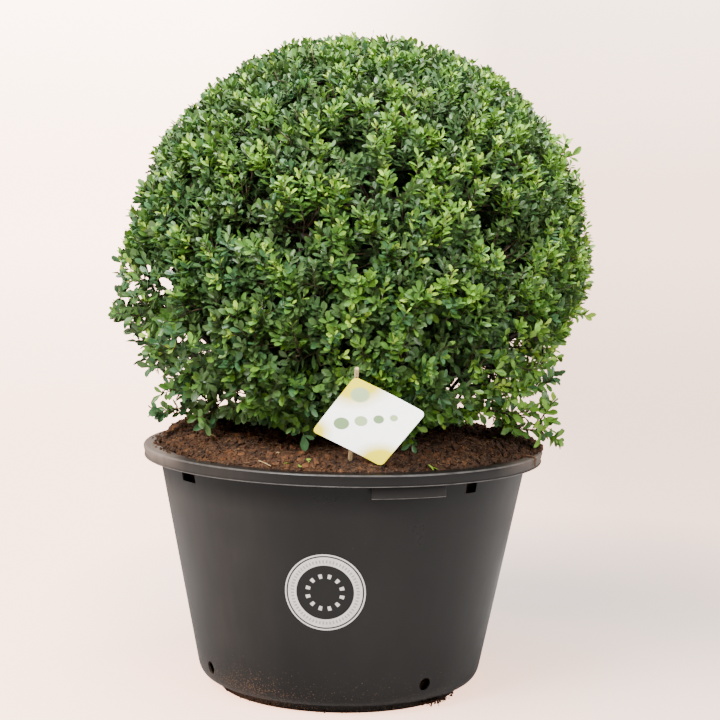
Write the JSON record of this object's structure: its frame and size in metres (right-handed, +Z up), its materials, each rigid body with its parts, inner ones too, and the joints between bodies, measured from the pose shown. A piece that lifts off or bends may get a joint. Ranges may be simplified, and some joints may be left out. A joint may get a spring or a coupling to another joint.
{
  "type": "potted ball-clipped japanese holly",
  "caption": "Small-leaved evergreen shrub clipped to a dense ball on a short stem, growing in a round dark grey nursery pot filled with soil, with a plain plant label on a stick.",
  "frame": {"origin": "middle of the pot's flat underside", "axes": "+Z up through the plant, -Y towards the front, where the label stands, +X to the right seen from the front"},
  "size_m": [0.687, 0.7056, 0.971],
  "materials": {
    "pot": "satin",
    "soil": "matte",
    "bark": "matte",
    "foliage": "satin",
    "stick": "satin",
    "card": "satin"
  },
  "bodies": {
    "root": {"pot": "pot", "soil": "soil", "trunk": "bark", "bough_high_1": "bark", "bough_high_2": "bark", "bough_high_3": "bark", "bough_high_4": "bark", "bough_high_5": "bark", "bough_low_1": "bark", "bough_low_2": "bark", "bough_low_3": "bark", "bough_low_4": "bark", "bough_low_5": "bark", "foliage_top": "foliage", "foliage_high_1": "foliage", "foliage_high_2": "foliage", "foliage_high_3": "foliage", "foliage_high_4": "foliage", "foliage_high_5": "foliage", "foliage_low_1": "foliage", "foliage_low_2": "foliage", "foliage_low_3": "foliage", "foliage_low_4": "foliage", "foliage_low_5": "foliage", "label_stick": "stick", "label_card": "card"}
  },
  "joints": []
}
